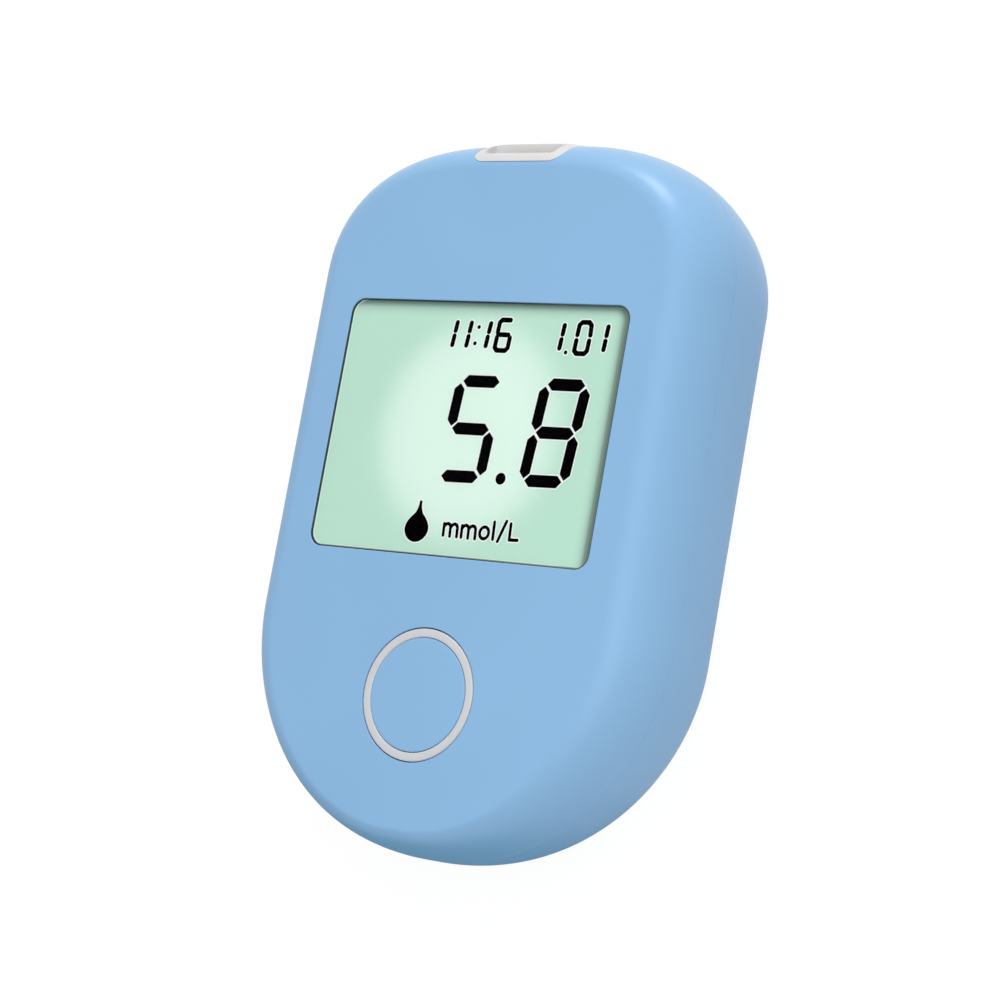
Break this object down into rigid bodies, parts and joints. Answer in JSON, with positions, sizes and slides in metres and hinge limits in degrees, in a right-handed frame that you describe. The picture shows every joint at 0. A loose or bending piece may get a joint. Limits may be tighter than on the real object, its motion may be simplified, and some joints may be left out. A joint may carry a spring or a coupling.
{
  "type": "blood glucose meter",
  "caption": "Hand-held blood glucose meter: oval soft-edged case, backlit display, round press button, strip port in the top edge, cells behind a sliding door.",
  "frame": {"origin": "middle of the flat back that the meter rests on", "axes": "+Z out of the face, +Y along the case towards the strip port, +X to the right as the display is read"},
  "size_m": [0.0626, 0.0946, 0.0209],
  "materials": {
    "case": "fine satin texture, pale blue",
    "ring": "satin, pale grey",
    "white_plastic": "satin, warm white",
    "lens": "clear, polished",
    "gasket": "foam",
    "display_face": "satin film, backlit pale green",
    "display_glass": "clear",
    "display_film": "satin film",
    "light_guide": "frosted",
    "lamp": "clear resin",
    "contact_rubber": "striped conductive rubber",
    "board": "solder resist",
    "chip": "moulded",
    "capacitor": "fired",
    "gold_contact": "plated",
    "steel": "plated",
    "cell_jacket": "printed jacket over metal",
    "label": "bare satin film"
  },
  "bodies": {
    "case": {"front_cover": "case", "rear_cover": "case", "rear_label": "label", "window_lens": "lens", "lens_gasket": "gasket", "front_polariser": "display_face", "lcd_front_glass": "display_glass", "lcd_rear_glass": "display_glass", "rear_polariser": "display_film", "lcd_frame": "white_plastic", "light_guide": "light_guide", "backlight_leds": "lamp", "contact_strip": "contact_rubber", "main_board": "board", "microcontroller": "chip", "measuring_chip": "chip", "memory_chip": "chip", "crystal": "steel", "buzzer": "chip", "board_capacitors": "capacitor", "board_resistors": "chip", "switch_body": "steel", "port_frame": "white_plastic", "strip_connector": "white_plastic", "strip_contacts": "gold_contact", "upper_contacts": "steel", "bridge_contact": "steel", "upper_spring": "steel", "lower_spring": "steel", "left_cell": "cell_jacket", "right_cell": "cell_jacket", "case_screws": "steel", "board_screws": "steel"},
    "button": {"button_cap": "case", "button_ring": "ring"},
    "plunger": {"switch_plunger": "chip"},
    "door": {"battery_door": "case"}
  },
  "joints": [
    {"name": "button_press", "type": "slide", "parent": "case", "child": "button", "axis": [0, 0, -1], "range_m": [0, 0.0004], "stiffness_N_per_m": 2000},
    {"name": "plunger_press", "type": "slide", "parent": "case", "child": "plunger", "axis": [0, 0, -1], "range_m": [0, 0.0004], "stiffness_N_per_m": 200},
    {"name": "door_slide", "type": "slide", "parent": "case", "child": "door", "axis": [0, -1, 0], "range_m": [0, 0.056]}
  ],
  "couplings": [
    {"joint": "plunger_press", "follows": "button_press", "ratio": 1}
  ]
}
